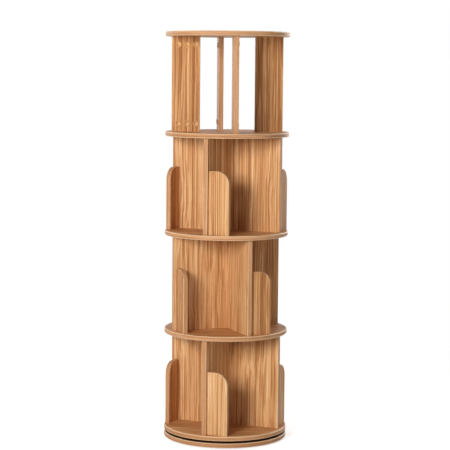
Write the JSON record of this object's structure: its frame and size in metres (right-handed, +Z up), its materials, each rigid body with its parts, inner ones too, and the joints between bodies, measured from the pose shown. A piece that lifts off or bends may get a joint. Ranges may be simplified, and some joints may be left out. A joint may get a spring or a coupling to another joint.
{
  "type": "revolving bookcase",
  "caption": "Round floor-standing revolving bookcase: stacked disc shelves with crossed dividers and low fences, turning on a ball-bearing base.",
  "frame": {"origin": "on the floor under the turning axis, at the middle of the base's footprint", "axes": "+Z up along the turning axis, -Y towards the front of the picture, +X to its right"},
  "size_m": [0.3999, 0.4, 1.32],
  "materials": {
    "oak_disc": "satin foil, fine straight grain",
    "oak_divider": "satin, upright striped grain",
    "oak_fence": "satin, upright striped grain",
    "beech_dowel": "raw, fluted",
    "plate_steel": "zinc plated",
    "ball_steel": "polished",
    "screw_steel": "zinc plated",
    "cam_zinc": "die-cast",
    "cap_plastic": "matt, wood toned",
    "cage_plastic": "moulded",
    "pad_rubber": "matt"
  },
  "bodies": {
    "base": {"base_disc": "oak_disc", "foot_pads": "pad_rubber", "turntable_lower_plate": "plate_steel", "lower_plate_screws": "screw_steel", "centre_rivet": "screw_steel"},
    "bearing": {"ball_cage": "cage_plastic", "bearing_balls": "ball_steel"},
    "tower": {"turntable_upper_plate": "plate_steel", "upper_plate_screws": "screw_steel", "shelf_1": "oak_disc", "shelf_2": "oak_disc", "shelf_3": "oak_disc", "shelf_4": "oak_disc", "top_disc": "oak_disc", "tier_1_divider_front": "oak_divider", "tier_1_divider_right": "oak_divider", "tier_1_divider_back": "oak_divider", "tier_1_divider_left": "oak_divider", "tier_2_divider_front": "oak_divider", "tier_2_divider_right": "oak_divider", "tier_2_divider_back": "oak_divider", "tier_2_divider_left": "oak_divider", "tier_3_divider_front": "oak_divider", "tier_3_divider_right": "oak_divider", "tier_3_divider_back": "oak_divider", "tier_3_divider_left": "oak_divider", "tier_1_fence_front": "oak_fence", "tier_1_fence_right": "oak_fence", "tier_1_fence_back": "oak_fence", "tier_1_fence_left": "oak_fence", "tier_2_fence_front": "oak_fence", "tier_2_fence_right": "oak_fence", "tier_2_fence_back": "oak_fence", "tier_2_fence_left": "oak_fence", "tier_3_fence_front": "oak_fence", "tier_3_fence_right": "oak_fence", "tier_3_fence_back": "oak_fence", "tier_3_fence_left": "oak_fence", "top_divider_front": "oak_divider", "top_divider_right": "oak_divider", "top_divider_back": "oak_divider", "top_divider_left": "oak_divider", "tier_1_divider_screws": "screw_steel", "tier_2_divider_screws": "screw_steel", "tier_3_divider_screws": "screw_steel", "tier_1_divider_dowels": "beech_dowel", "tier_2_divider_dowels": "beech_dowel", "tier_3_divider_dowels": "beech_dowel", "tier_1_fence_screws": "screw_steel", "tier_2_fence_screws": "screw_steel", "tier_3_fence_screws": "screw_steel", "tier_1_fence_dowels": "beech_dowel", "tier_2_fence_dowels": "beech_dowel", "tier_3_fence_dowels": "beech_dowel", "top_tier_cam_bolts": "screw_steel", "top_tier_cam_locks": "cam_zinc", "top_tier_cam_caps": "cap_plastic"}
  },
  "joints": [
    {"name": "tower_spin", "type": "hinge", "parent": "base", "child": "tower", "pos_m": [0, 0, 0.0215], "axis": [0, 0, 1], "continuous": true},
    {"name": "bearing_roll", "type": "hinge", "parent": "base", "child": "bearing", "pos_m": [0, 0, 0.0215], "axis": [0, 0, 1], "continuous": true}
  ],
  "couplings": [
    {"joint": "bearing_roll", "follows": "tower_spin", "ratio": 0.5}
  ]
}
